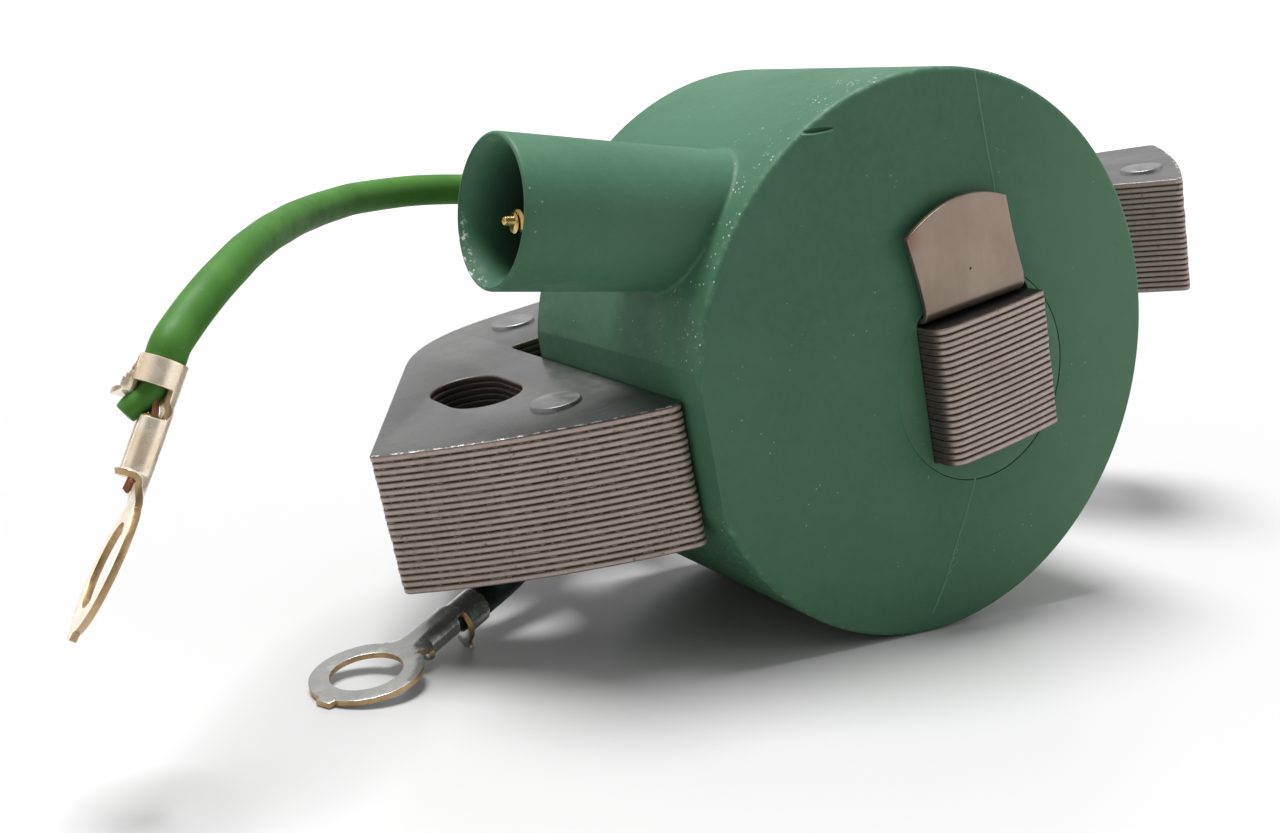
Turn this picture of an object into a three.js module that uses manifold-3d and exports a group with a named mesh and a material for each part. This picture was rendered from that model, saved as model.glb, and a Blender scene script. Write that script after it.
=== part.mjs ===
// Flywheel ignition coil: a potted drum with its high-tension tower on the middle leg of a
// three-legged laminated core, lying on its drum as it rests on a bench. Millimetres, +Z up.
import * as THREE from 'three';
import { mergeVertices } from 'three/addons/utils/BufferGeometryUtils.js';
import Module from 'manifold-3d';

const wasm = await Module();
wasm.setup();

// ---- driving dimensions -------------------------------------------------------------------
// The core frame has X along the coil axis out of the front face, Y towards the right pole and
// Z square to the laminations. Its origin is where the drum's axis meets the front face.
const DRUM_RADIUS = 25;
const DRUM_LENGTH = 28.3;
const DRUM_EDGE = 0.8;
const TILT = THREE.MathUtils.degToRad(12.2); // the core leans to its left as the coil lies
const FIT = 0.15; // clearance round the core's leg
const GAP = 0.3; // clearance between bodies that are moulded or wound on each other

// The leg, and with it the windings, is off the drum's axis.
const LEG = { y: 4.51, z: -2.79, width: 12.9 };

// Laminated core, in plan from the middle of the leg.
const SHEETS = 21;
const SHEET_PITCH = 0.6;
const SHEET_THICKNESS = 0.5;
const STACK = SHEETS * SHEET_PITCH;
const POLE = { x: -68.4, y: -2.7, radius: 71.15 }; // the circle that the three pole faces lie on
const YOKE_FRONT = -34.9;
const YOKE_BACK = -48.5;
const LEFT_ARM_INSIDE = -28.8;
const SLOT = { length: 10.7, width: 6.8 };
const SLOTS = [[-24.4, -37.6], [-33.5, 40.5]];
const RIVET = { shank: 1.4, hole: 1.75, head: 2.4, proud: 0.35, recess: 2.75 };
const RIVETS = {
  left_pole: [-13.5, -35.1],
  left_yoke: [-43, -24.4],
  right_pole: [-22.2, 46],
  right_yoke: [-42.8, 27],
};

// Bobbin and windings, all round the leg.
const BOBBIN_RADIUS = 9.55;
const HOLE_RADIUS = 9.25; // rounds the corners of the bobbin's square hole
const HOLE_TOP = 7.35; // room for the retaining strip on top of the leg
const CAVITY = { radius: 17.6, front: -3.2, back: -25.1 };
const WINDINGS = {
  primary_winding: { inner: 9.85, outer: 12.4, length: 19 },
  layer_insulation: { inner: 12.55, outer: 12.95, length: 20 },
  secondary_winding: { inner: 13.1, outer: 16.2, length: 18 },
  winding_wrap: { inner: 16.35, outer: 16.65, length: 19 },
};
const EPOXY = { outer: 17.4, inner: 16.85, endInner: 9.9, wall: 0.5 };

// High-tension tower: its axis crosses the coil's, 10.68 mm above the drum's centre.
const TOWER = { x: -8.35, offset: 10.68, mouth: 39.9, radius: 6.2, rootRadius: 5.95, bore: 5.0 };
const TOWER_LEAN = THREE.MathUtils.degToRad(16.8); // above the laminations' plane
const BORE_FLOOR = 24;
const INSERT = { radius: 2.2, hole: 1.7, from: 15.8, to: 23.8 };
const LINK = { radius: 0.6, from: 7.3, to: 15.4 };
const SCREW = { from: 17.8, tip: 38.7, core: 0.72, crest: 0.98, pitch: 1.1, point: 0.95, lean: 1.9 };

// Retaining strip: lies on the leg and is bent up in front of the drum.
const STRIP = {
  thickness: 0.5, left: -6, right: 5.4, back: -29.7, front: 0.95, bend: 1.1, hook: 1.4, rise: 2.2,
};
const TAB = { topLeft: [-7.5, 14.5], crown: [-1.6, 18.2], topRight: [4.1, 15.4], lean: 2.5 };

// Leads and their ring terminals. The routes are hand-laid, in the lying frame with the drum's
// front face at x = 0, its axis at y = 0 and the bench at z = 0.
const LEAD_RADIUS = 1.42;
const LEAD_SIDES = 8;
const EXIT = { radius: 2.4, root: 3.1, height: 1.2 };
const GREEN_ROUTE = [
  [-29.8, -14, 37.6], [-31.6, -14.2, 37.7], [-33.4, -15.4, 37.9], [-34.8, -17.5, 38.1],
  [-35.6, -20.3, 38.4], [-35.9, -24, 38.6], [-36, -28, 38.7], [-35.7, -31.6, 38.8],
  [-35.1, -34.4, 38.8], [-34.2, -37, 38.7], [-32.8, -39.5, 38.6], [-31.2, -41.8, 38.5],
  [-29.3, -43.9, 38.3], [-27.2, -46, 38.1], [-25, -47.9, 37.9], [-22.6, -49.8, 37.7],
  [-20.2, -51.6, 37.4], [-17.8, -53.4, 37.1], [-15.4, -55.1, 36.7], [-13.1, -56.8, 36.2],
  [-10.8, -58.5, 35.5], [-8.7, -60.2, 34.7], [-6.8, -61.9, 33.7], [-5.26, -63.52, 32.47],
];
const BLACK_ROUTE = [
  [-29.8, -9.6, 12.3], [-31.6, -9.8, 12.2], [-33.6, -11, 11.6], [-35, -13.4, 10.7],
  [-35.3, -16.4, 9.7], [-34, -19.3, 8.8], [-31.6, -21.6, 8], [-28.8, -23.8, 7.3],
  [-26.2, -26, 6.6], [-24, -28.3, 5.6], [-22.3, -30.7, 4.6],
];
// A ring terminal is drawn flat, with its barrels bent from the ring's plane by `bend` degrees.
const TERMINAL = {
  thickness: 0.55, hole: 3.05, outer: 4.75, neck: 1.9, web: 1.3, knee: 5.4,
  wireBarrel: { from: 6.2, to: 10.3, halfWidth: 1.6, height: 2.4 },
  insulationBarrel: { from: 12.1, to: 14.2, halfWidth: 1.65, height: 3.3 },
};
const CONDUCTOR_RADIUS = 0.5;
const GREEN_TERMINAL = {
  centre: [-0.95, -70.52, 17.17], alongWire: [-0.155, 0.513, 0.844],
  tabSide: [-0.1812, -0.8545, 0.4861], bend: -5.6,
};
const BLACK_TERMINAL = {
  centre: [-13.4, -48.5, 1.43], alongWire: [-0.436, 0.883, 0.175],
  tabSide: [-0.0615, 0.165, -0.984], bend: 5,
};

// ---- colours ------------------------------------------------------------------------------
const FINISH = {
  sheet: { color: 0x74706c, roughness: 0.45, metalness: 0.8 },
  strip: { color: 0x8d7f75, roughness: 0.4, metalness: 0.8 },
  rivet: { color: 0x6c6b6a, roughness: 0.45, metalness: 0.8 },
  moulding: { color: 0x3f7d62, roughness: 0.5, metalness: 0 },
  bobbin: { color: 0x47755c, roughness: 0.55, metalness: 0 },
  copper: { color: 0xa8562e, roughness: 0.35, metalness: 0.9 },
  paper: { color: 0xc9b58a, roughness: 0.8, metalness: 0 },
  epoxy: { color: 0x2c5140, roughness: 0.35, metalness: 0 },
  brass: { color: 0xb8924a, roughness: 0.3, metalness: 0.95 },
  tin: { color: 0xa9aba6, roughness: 0.35, metalness: 0.9 },
  greenPvc: { color: 0x3f8a35, roughness: 0.5, metalness: 0 },
  blackPvc: { color: 0x232926, roughness: 0.55, metalness: 0 },
};

// ---- helpers ------------------------------------------------------------------------------
function solidOf(geometry) {
  const bare = geometry.clone();
  bare.deleteAttribute('normal');
  bare.deleteAttribute('uv');
  const welded = mergeVertices(bare, 1e-4);
  return new wasm.Manifold(new wasm.Mesh({
    numProp: 3,
    vertProperties: new Float32Array(welded.attributes.position.array),
    triVerts: new Uint32Array(welded.index.array),
  }));
}

function geometryOf(solid) {
  const { vertProperties, triVerts } = solid.getMesh();
  const geometry = new THREE.BufferGeometry();
  geometry.setAttribute('position', new THREE.BufferAttribute(vertProperties, 3));
  geometry.setIndex(new THREE.BufferAttribute(triVerts, 1));
  geometry.computeVertexNormals();
  return geometry;
}

function part(name, geometry, finish) {
  const mesh = new THREE.Mesh(geometry, new THREE.MeshStandardMaterial(FINISH[finish]));
  mesh.name = name;
  return mesh;
}

// A body turned about X from [x, radius] pairs that go from the low end of its axis to the high.
function turned(profile, segments) {
  const points = profile.map(([x, radius]) => new THREE.Vector2(radius, x));
  return new THREE.LatheGeometry(points, segments).rotateZ(-Math.PI / 2);
}

function rod(from, to, radius, sides = 16) {
  return turned([[from, 0], [from, radius], [to, radius], [to, 0]], sides);
}

function sleeve(from, to, inner, outer, sides = 48) {
  const ring = [[from, inner], [from, outer], [to, outer], [to, inner], [from, inner]];
  return turned(ring, sides);
}

function box(x, y, z) {
  const size = (range) => range[1] - range[0];
  const middle = (range) => (range[0] + range[1]) / 2;
  return new THREE.BoxGeometry(size(x), size(y), size(z))
    .translate(middle(x), middle(y), middle(z));
}

function circlePath(x, y, radius, sides) {
  const path = new THREE.Path();
  for (let i = 0; i <= sides; i++) {
    const angle = (2 * Math.PI * (i % sides)) / sides;
    const point = [x + radius * Math.cos(angle), y + radius * Math.sin(angle)];
    if (i === 0) path.moveTo(...point);
    else path.lineTo(...point);
  }
  return path;
}

// A closed outline through [x, y, fillet] corners.
function rounded(corners) {
  const shape = new THREE.Shape();
  const count = corners.length;
  corners.forEach(([x, y, fillet = 0], i) => {
    const corner = new THREE.Vector2(x, y);
    const towards = (j) => {
      const other = corners[(j + count) % count];
      return new THREE.Vector2(other[0], other[1]).sub(corner).setLength(fillet).add(corner);
    };
    const start = towards(i - 1);
    if (i === 0) shape.moveTo(start.x, start.y);
    else shape.lineTo(start.x, start.y);
    if (fillet > 0) {
      const end = towards(i + 1);
      shape.quadraticCurveTo(x, y, end.x, end.y);
    }
  });
  shape.closePath();
  return shape;
}

function extruded(shape, depth, curveSegments = 3) {
  return new THREE.ExtrudeGeometry(shape, { depth, curveSegments, bevelEnabled: false });
}

// Turns a body made along X so that it lies along the tower's axis, with x = 0 at the foot of
// the perpendicular from the drum's axis.
function alongTower(geometry) {
  geometry.rotateZ(-Math.PI / 2).rotateX(-TOWER_LEAN);
  return geometry.translate(
    TOWER.x, TOWER.offset * Math.sin(TOWER_LEAN), TOWER.offset * Math.cos(TOWER_LEAN));
}

const onLeg = (geometry) => geometry.translate(0, LEG.y, LEG.z);

// ---- laminated core -----------------------------------------------------------------------
function onPoleCircle(y) {
  return POLE.x + Math.sqrt(POLE.radius ** 2 - (y - POLE.y) ** 2);
}

// The points between two heights on the pole circle, both ends left out.
function poleArc(fromY, toY, steps) {
  const angle = (y) => Math.asin((y - POLE.y) / POLE.radius);
  const points = [];
  for (let i = 1; i < steps; i++) {
    const a = THREE.MathUtils.lerp(angle(fromY), angle(toY), i / steps);
    points.push([POLE.x + POLE.radius * Math.cos(a), POLE.y + POLE.radius * Math.sin(a)]);
  }
  return points;
}

function coreOutline() {
  const half = LEG.width / 2;
  return rounded([
    [onPoleCircle(-half), -half, 1.6],
    ...poleArc(-half, half, 4),
    [onPoleCircle(half), half, 0.3],
    [YOKE_FRONT, half, 0.8],
    [YOKE_FRONT, 28, 2],
    [-20.2, 39.8],
    [onPoleCircle(43.5), 43.5, 1],
    ...poleArc(43.5, 57.5, 4),
    [onPoleCircle(57.5), 57.5, 1],
    [-34.8, 52.8],
    [YOKE_BACK, 37.4, 3],
    [YOKE_BACK, -33.3, 9.2],
    [onPoleCircle(-51.3), -51.3, 0.7],
    ...poleArc(-51.3, LEFT_ARM_INSIDE, 5),
    [onPoleCircle(LEFT_ARM_INSIDE), LEFT_ARM_INSIDE, 1.8],
    [YOKE_FRONT, LEFT_ARM_INSIDE, 0.8],
    [YOKE_FRONT, -half, 0.8],
  ]);
}

function slotPath([x, y]) {
  const radius = SLOT.width / 2;
  const reach = (SLOT.length - SLOT.width) / 2;
  const path = new THREE.Path();
  path.absarc(x + reach, y, radius, -Math.PI / 2, Math.PI / 2, false);
  path.absarc(x - reach, y, radius, Math.PI / 2, (3 * Math.PI) / 2, false);
  path.closePath();
  return path;
}

// A sheet with its slots and rivet holes.
function sheetGeometry(holeRadius, sides) {
  const plan = coreOutline();
  plan.holes.push(...SLOTS.map(slotPath));
  for (const [x, y] of Object.values(RIVETS)) plan.holes.push(circlePath(x, y, holeRadius, sides));
  return onLeg(extruded(plan, SHEET_THICKNESS));
}

// The rivets' heads sit in larger holes in the two outer sheets.
function makeCore() {
  const inner = sheetGeometry(RIVET.hole, 6);
  const outer = sheetGeometry(RIVET.recess, 12);
  const meshes = [];
  for (let i = 0; i < SHEETS; i++) {
    const name = `core_lamination_${String(i + 1).padStart(2, '0')}`;
    const isOuter = i === 0 || i === SHEETS - 1;
    const mesh = part(name, isOuter ? outer : inner, 'sheet');
    mesh.position.z = -STACK / 2 + i * SHEET_PITCH + (SHEET_PITCH - SHEET_THICKNESS) / 2;
    meshes.push(mesh);
  }
  return meshes;
}

function makeRivets() {
  const face = STACK / 2 - SHEET_PITCH;
  const top = STACK / 2 + RIVET.proud;
  const profile = [
    [-top, 0], [-top, RIVET.head], [-face, RIVET.head], [-face, RIVET.shank],
    [face, RIVET.shank], [face, RIVET.head], [top, RIVET.head], [top, 0],
  ];
  return Object.entries(RIVETS).map(([place, [x, y]]) => {
    const rivet = turned(profile, 16).rotateY(-Math.PI / 2).translate(x, y, 0);
    return part(`stack_rivet_${place}`, onLeg(rivet), 'rivet');
  });
}

// ---- retaining strip ----------------------------------------------------------------------
function makeStrip() {
  const { thickness, left, right, back, front, bend, hook, rise } = STRIP;
  const low = STACK / 2 + 0.1;
  const root = low + rise;
  const inner = bend - thickness;
  const side = new THREE.Shape();
  side.moveTo(back, low + bend + hook);
  side.lineTo(back, low + bend);
  side.absarc(back + bend, low + bend, bend, Math.PI, 1.5 * Math.PI, false);
  side.lineTo(front - bend, low);
  side.absarc(front - bend, low + bend, bend, 1.5 * Math.PI, 2 * Math.PI, false);
  side.lineTo(front, root);
  side.lineTo(front - thickness, root);
  side.lineTo(front - thickness, low + bend);
  side.absarc(front - bend, low + bend, inner, 0, -Math.PI / 2, true);
  side.lineTo(back + bend, low + thickness);
  side.absarc(back + bend, low + bend, inner, 1.5 * Math.PI, Math.PI, true);
  side.lineTo(back + thickness, low + bend + hook);
  side.closePath();
  const strap = extruded(side, right - left).rotateX(Math.PI / 2).translate(0, right, 0);

  // The tab's flat face, drawn in Y and Z, leans a little away from the drum. It starts below
  // the strap's top so that the two join.
  const start = root - 0.6;
  const tab = new THREE.Shape();
  tab.moveTo(left, start);
  tab.lineTo(right, start);
  tab.lineTo(...TAB.topRight);
  tab.quadraticCurveTo(...TAB.crown, ...TAB.topLeft);
  tab.closePath();
  const blade = extruded(tab, thickness, 6).rotateY(Math.PI / 2).rotateX(Math.PI / 2)
    .translate(front - thickness, 0, -start).rotateY(THREE.MathUtils.degToRad(TAB.lean))
    .translate(0, 0, start);
  return part('retaining_strip', onLeg(geometryOf(solidOf(strap).add(solidOf(blade)))), 'strip');
}

// ---- moulded case -------------------------------------------------------------------------
function drumProfile() {
  const profile = [[-DRUM_LENGTH, 0]];
  const steps = 3;
  for (const [x, from] of [[-DRUM_LENGTH + DRUM_EDGE, Math.PI], [-DRUM_EDGE, Math.PI / 2]]) {
    for (let i = 0; i <= steps; i++) {
      const a = from - (i * Math.PI) / 2 / steps;
      const radius = DRUM_RADIUS - DRUM_EDGE + DRUM_EDGE * Math.sin(a);
      profile.push([x + DRUM_EDGE * Math.cos(a), radius]);
    }
  }
  profile.push([0, 0]);
  return profile;
}

// Where a lead leaves the rear face, from its place in the lying frame.
function exitPlace([, y, z]) {
  const place = new THREE.Vector3(0, y, z - DRUM_RADIUS);
  return place.applyAxisAngle(new THREE.Vector3(1, 0, 0), -TILT);
}

function makeCase() {
  const drum = turned(drumProfile(), 72).rotateX(-TILT);
  const root = 4; // the tower starts well inside the drum
  const tower = alongTower(turned([
    [root, 0], [root, TOWER.rootRadius], [TOWER.mouth - 0.5, TOWER.radius],
    [TOWER.mouth, TOWER.radius - 0.35], [TOWER.mouth, 0],
  ], 32));
  let body = solidOf(drum).add(solidOf(tower));
  for (const route of [GREEN_ROUTE, BLACK_ROUTE]) {
    const { y, z } = exitPlace(route[0]);
    const end = -DRUM_LENGTH - EXIT.height;
    const collar = turned([
      [end, 0], [end, EXIT.radius], [-DRUM_LENGTH, EXIT.root], [-DRUM_LENGTH + 1, EXIT.root],
      [-DRUM_LENGTH + 1, 0],
    ], 16);
    body = body.add(solidOf(collar.translate(0, y, z)));
  }

  const lip = 0.5;
  const past = 1;
  const hollows = [
    onLeg(rod(-DRUM_LENGTH - past, past, BOBBIN_RADIUS + 0.2, 48)),
    onLeg(rod(CAVITY.back, CAVITY.front, CAVITY.radius, 48)),
    alongTower(turned([
      [BORE_FLOOR, 0], [BORE_FLOOR, TOWER.bore], [TOWER.mouth - lip, TOWER.bore],
      [TOWER.mouth + past, TOWER.bore + lip + past], [TOWER.mouth + past, 0],
    ], 32)),
    alongTower(rod(INSERT.from - GAP, BORE_FLOOR + past, INSERT.radius + GAP)),
    alongTower(rod(0, INSERT.from, LINK.radius + GAP, 10)),
  ];
  for (const hollow of hollows) body = body.subtract(solidOf(hollow));

  // The case is moulded against the inside of the left arm and stays clear of its upper face.
  const halfStack = STACK / 2 + GAP;
  const arm = box([-DRUM_LENGTH - past, past], [-40, LEFT_ARM_INSIDE + GAP],
    [-halfStack, halfStack + 2.6]);
  return part('coil_case', geometryOf(body.subtract(solidOf(onLeg(arm)))), 'moulding');
}

function makeBobbin() {
  const tube = solidOf(rod(-DRUM_LENGTH - 0.6, 0, BOBBIN_RADIUS, 48));
  const half = LEG.width / 2 + FIT;
  const square = solidOf(box([-40, 10], [-half, half], [-STACK / 2 - FIT, HOLE_TOP]));
  const hole = square.intersect(solidOf(rod(-40, 10, HOLE_RADIUS, 48)));
  return part('bobbin', onLeg(geometryOf(tube.subtract(hole))), 'bobbin');
}

function makeWindings() {
  const middle = (CAVITY.front + CAVITY.back) / 2;
  const finishes = {
    primary_winding: 'copper', layer_insulation: 'paper',
    secondary_winding: 'copper', winding_wrap: 'paper',
  };
  return Object.entries(WINDINGS).map(([name, { inner, outer, length }]) => part(
    name, onLeg(sleeve(middle - length / 2, middle + length / 2, inner, outer)), finishes[name]));
}

// Resin round the windings: a can without a floor at the bobbin, open where the link enters.
function makeEpoxy() {
  const { outer, inner, endInner, wall } = EPOXY;
  const from = CAVITY.back + 0.2;
  const to = CAVITY.front - 0.2;
  const can = turned([
    [from, endInner], [from, outer], [to, outer], [to, endInner], [to - wall, endInner],
    [to - wall, inner], [from + wall, inner], [from + wall, endInner], [from, endInner],
  ], 48);
  const link = alongTower(rod(0, INSERT.from, LINK.radius + 2 * GAP, 10));
  return part('epoxy_fill', geometryOf(solidOf(onLeg(can)).subtract(solidOf(link))), 'epoxy');
}

// ---- high-tension contact -----------------------------------------------------------------
function makeContact() {
  const insert = turned([
    [INSERT.from, 0], [INSERT.from, INSERT.radius], [INSERT.to, INSERT.radius],
    [INSERT.to, INSERT.hole], [INSERT.from + 1.5, INSERT.hole], [INSERT.from + 1.5, 0],
  ], 16);
  const { from, tip, core, crest, pitch, point, lean } = SCREW;
  const profile = [[from, 0], [from, core]];
  for (let x = from + pitch; x < tip - point - pitch / 2; x += pitch) {
    profile.push([x, core], [x + pitch / 2, crest]);
  }
  profile.push([tip - point, core], [tip - point, core / 1.6], [tip, core / 2.4], [tip, 0]);
  const screw = turned(profile, 10).translate(-from, 0, 0)
    .rotateY(THREE.MathUtils.degToRad(lean)).translate(from, 0, 0);
  return [
    part('ht_insert', alongTower(insert), 'brass'),
    part('ht_link', alongTower(rod(LINK.from, LINK.to, LINK.radius, 8)), 'copper'),
    part('contact_screw', alongTower(screw), 'brass'),
  ];
}

// ---- leads --------------------------------------------------------------------------------
function curveOf(route) {
  return new THREE.CatmullRomCurve3(route.map((p) => new THREE.Vector3(...p)), false, 'centripetal');
}

function leadTube(route, radius, sides) {
  const path = curveOf(route);
  const steps = Math.round(path.getLength() / (2.5 * radius));
  const section = new THREE.Shape(circlePath(0, 0, radius, sides).getPoints().slice(0, -1));
  return new THREE.ExtrudeGeometry(section, { steps, extrudePath: path, bevelEnabled: false });
}

// A ring terminal in its own frame: the hole's centre at the origin, the wire coming in along
// +X and the crimped tabs on the +Z side of the sheet.
function terminalGeometry(bend) {
  const { thickness, hole, outer, neck, web, knee, wireBarrel, insulationBarrel } = TERMINAL;
  const ring = new THREE.Shape();
  const spread = Math.asin(neck / outer);
  ring.absarc(0, 0, outer, spread, 2 * Math.PI - spread, false);
  ring.lineTo(knee + 0.1, -web);
  ring.lineTo(knee + 0.1, web);
  ring.closePath();
  ring.holes.push(circlePath(0, 0, hole, 20));

  // The barrels stand on a straight web that starts at the knee.
  const length = insulationBarrel.to - knee;
  let barrels = solidOf(box([-0.1, length], [-web, web], [0, thickness]));
  for (const { from, to, halfWidth, height } of [wireBarrel, insulationBarrel]) {
    const middle = height / 2;
    const section = new THREE.Shape().absellipse(0, middle, halfWidth, middle, 0, 2 * Math.PI);
    section.holes.push(new THREE.Path().absellipse(
      0, middle, halfWidth - thickness, middle - thickness, 0, 2 * Math.PI));
    const barrel = extruded(section, to - from, 7).rotateX(Math.PI / 2).rotateZ(Math.PI / 2)
      .translate(from - knee, 0, 0);
    barrels = barrels.add(solidOf(barrel));
  }
  const bent = geometryOf(barrels).rotateY(THREE.MathUtils.degToRad(bend)).translate(knee, 0, 0);
  return geometryOf(solidOf(extruded(ring, thickness, 10)).add(solidOf(bent)));
}

// The terminal's frame in the lying frame.
function terminalFrame({ centre, alongWire, tabSide }) {
  const x = new THREE.Vector3(...alongWire).normalize();
  const y = new THREE.Vector3(...tabSide).cross(x).normalize();
  const z = x.clone().cross(y);
  return new THREE.Matrix4().makeBasis(x, y, z).setPosition(...centre);
}

// A lead: its tube runs along the route and then straight up to the insulation's barrel, and
// its bared conductor goes on through both barrels.
function makeLead(name, route, ending, finish) {
  const frame = terminalFrame(ending);
  const { knee, wireBarrel, insulationBarrel } = TERMINAL;
  const bend = THREE.MathUtils.degToRad(ending.bend);
  const place = (x, z) => new THREE.Vector3(x - knee, 0, z)
    .applyAxisAngle(new THREE.Vector3(0, 1, 0), bend)
    .add(new THREE.Vector3(knee, 0, 0)).applyMatrix4(frame).toArray();
  const height = insulationBarrel.height / 2;
  const end = insulationBarrel.to + GAP;
  const tube = leadTube([...route, place(end + 0.8, height), place(end, height)],
    LEAD_RADIUS, LEAD_SIDES);
  const conductor = leadTube([
    place(end - 0.6, height), place(end - 2.6, height),
    place(wireBarrel.to - 0.3, wireBarrel.height / 2),
    place(wireBarrel.from - 0.6, wireBarrel.height / 2),
  ], CONDUCTOR_RADIUS, LEAD_SIDES);
  const terminal = terminalGeometry(ending.bend).applyMatrix4(frame);
  return [
    part(`${name}_lead`, tube, finish),
    part(`${name}_lead_conductor`, conductor, 'copper'),
    part(`${name}_lead_terminal`, terminal, 'tin'),
  ];
}

// ---- assembly -----------------------------------------------------------------------------
const core = new THREE.Group();
core.rotation.x = TILT;
core.position.z = DRUM_RADIUS;
core.add(...makeCore(), ...makeRivets(), makeStrip(), makeCase(), makeBobbin(),
  ...makeWindings(), makeEpoxy(), ...makeContact());

const lying = new THREE.Group();
lying.add(core);
lying.updateMatrixWorld(true);

// The origin is under the middle of the coil without its leads, on the bench.
const extent = new THREE.Box3().setFromObject(core, true);
const centre = extent.getCenter(new THREE.Vector3());
lying.add(
  ...makeLead('green', GREEN_ROUTE, GREEN_TERMINAL, 'greenPvc'),
  ...makeLead('black', BLACK_ROUTE, BLACK_TERMINAL, 'blackPvc'));
lying.position.set(-centre.x, -centre.y, -extent.min.z);

const coil = new THREE.Group();
coil.add(lying);
coil.updateMatrixWorld(true);
export default coil;
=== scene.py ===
"""Looks of a flywheel ignition coil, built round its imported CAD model. Metres, +Z up.

Shapes are drawn in millimetres in one of four frames and carried to the row frame by a matrix:
LYING has x = 0 at the drum's front face, y = 0 at its axis and z = 0 at the bench; CORE is square
to the laminations, with its origin on the drum's axis; ON_LEG has its origin at the middle of the
core's leg; TOWER has X along the high-tension tower's axis.
"""
import math
import random

import bmesh
import bpy
import numpy as np
from mathutils import Matrix, Vector


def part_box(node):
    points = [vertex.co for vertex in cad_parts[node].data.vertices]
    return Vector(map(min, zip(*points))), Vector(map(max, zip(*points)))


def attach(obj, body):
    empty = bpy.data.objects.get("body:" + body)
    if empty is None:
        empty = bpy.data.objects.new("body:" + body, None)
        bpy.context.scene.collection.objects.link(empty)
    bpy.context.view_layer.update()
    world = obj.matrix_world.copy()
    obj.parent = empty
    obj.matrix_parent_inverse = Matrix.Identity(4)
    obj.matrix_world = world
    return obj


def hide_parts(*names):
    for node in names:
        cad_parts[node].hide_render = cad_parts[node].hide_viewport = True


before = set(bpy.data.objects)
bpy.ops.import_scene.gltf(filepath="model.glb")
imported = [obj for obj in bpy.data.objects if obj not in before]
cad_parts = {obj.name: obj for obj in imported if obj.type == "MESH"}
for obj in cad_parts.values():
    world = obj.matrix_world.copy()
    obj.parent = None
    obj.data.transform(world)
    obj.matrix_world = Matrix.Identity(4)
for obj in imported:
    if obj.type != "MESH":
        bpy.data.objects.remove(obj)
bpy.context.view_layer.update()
random.seed(7)

# ---- frames ----
MM = 0.001
case_low, case_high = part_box("coil_case")
DRUM_RADIUS = (case_high.z - case_low.z) / 2 / MM
DRUM_LENGTH = 28.3
TILT = math.radians(12.2)
LEG_CENTRE = (0, 4.51, -2.79)
TOWER_FOOT = 10.68  # from the drum's axis to the tower's
TOWER_X = -8.35
TOWER_LEAN = math.radians(16.8)

LYING = Matrix.Translation((case_high.x, case_high.y - DRUM_RADIUS * MM, 0)) @ Matrix.Scale(MM, 4)
CORE = LYING @ Matrix.Translation((0, 0, DRUM_RADIUS)) @ Matrix.Rotation(TILT, 4, "X")
ON_LEG = CORE @ Matrix.Translation(LEG_CENTRE)
TOWER = (CORE @ Matrix.Rotation(-TOWER_LEAN, 4, "X")
         @ Matrix.Translation((TOWER_X, 0, TOWER_FOOT)) @ Matrix.Rotation(-math.pi / 2, 4, "Z"))

# ---- driving dimensions, in millimetres ----
SHEETS = 21
SHEET_PITCH = 0.6
STACK = SHEETS * SHEET_PITCH
POLE = (-68.4, -2.7, 71.15)
LEG_WIDTH = 12.9
YOKE_FRONT = -34.9
YOKE_BACK = -48.5
LEFT_ARM_INSIDE = -28.8
SLOT_LENGTH = 10.7
SLOT_WIDTH = 6.8
SLOTS = [(-24.4, -37.6), (-33.5, 40.5)]
RIVETS = {"left_pole": (-13.5, -35.1), "left_yoke": (-43, -24.4),
          "right_pole": (-22.2, 46), "right_yoke": (-42.8, 27)}
BOBBIN_RADIUS = 9.55
HOLE_RADIUS = 9.25
HOLE_TOP = 7.35
MOUTH = 39.9
TOWER_RADIUS = 6.2
BORE_RADIUS = 5.0
BORE_FLOOR = 24
HOLLOW_RADIUS = 17.6  # of the drum's hollow, round the windings
LEAD_RADIUS = 1.42
STRAND_RADIUS = 0.1
TAB_CORNER_LEFT = (-7.5, 14.5)
TAB_CORNER_RIGHT = (4.1, 15.4)
TAB_CROWN = (-1.6, 18.2)
TAB_DENT = (-0.7, 10.1)

# ---- routes and terminals, repeated from the CAD, in the LYING frame ----
GREEN_ROUTE = [
    (-29.8, -14, 37.6), (-31.6, -14.2, 37.7), (-33.4, -15.4, 37.9), (-34.8, -17.5, 38.1),
    (-35.6, -20.3, 38.4), (-35.9, -24, 38.6), (-36, -28, 38.7), (-35.7, -31.6, 38.8),
    (-35.1, -34.4, 38.8), (-34.2, -37, 38.7), (-32.8, -39.5, 38.6), (-31.2, -41.8, 38.5),
    (-29.3, -43.9, 38.3), (-27.2, -46, 38.1), (-25, -47.9, 37.9), (-22.6, -49.8, 37.7),
    (-20.2, -51.6, 37.4), (-17.8, -53.4, 37.1), (-15.4, -55.1, 36.7), (-13.1, -56.8, 36.2),
    (-10.8, -58.5, 35.5), (-8.7, -60.2, 34.7), (-6.8, -61.9, 33.7), (-5.26, -63.52, 32.47),
]
BLACK_ROUTE = [
    (-29.8, -9.6, 12.3), (-31.6, -9.8, 12.2), (-33.6, -11, 11.6), (-35, -13.4, 10.7),
    (-35.3, -16.4, 9.7), (-34, -19.3, 8.8), (-31.6, -21.6, 8), (-28.8, -23.8, 7.3),
    (-26.2, -26, 6.6), (-24, -28.3, 5.6), (-22.3, -30.7, 4.6),
]
GREEN_TERMINAL = {"centre": (-0.95, -70.52, 17.17), "along": (-0.155, 0.513, 0.844),
                  "tabs": (-0.1812, -0.8545, 0.4861), "bend": -5.6}
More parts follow.
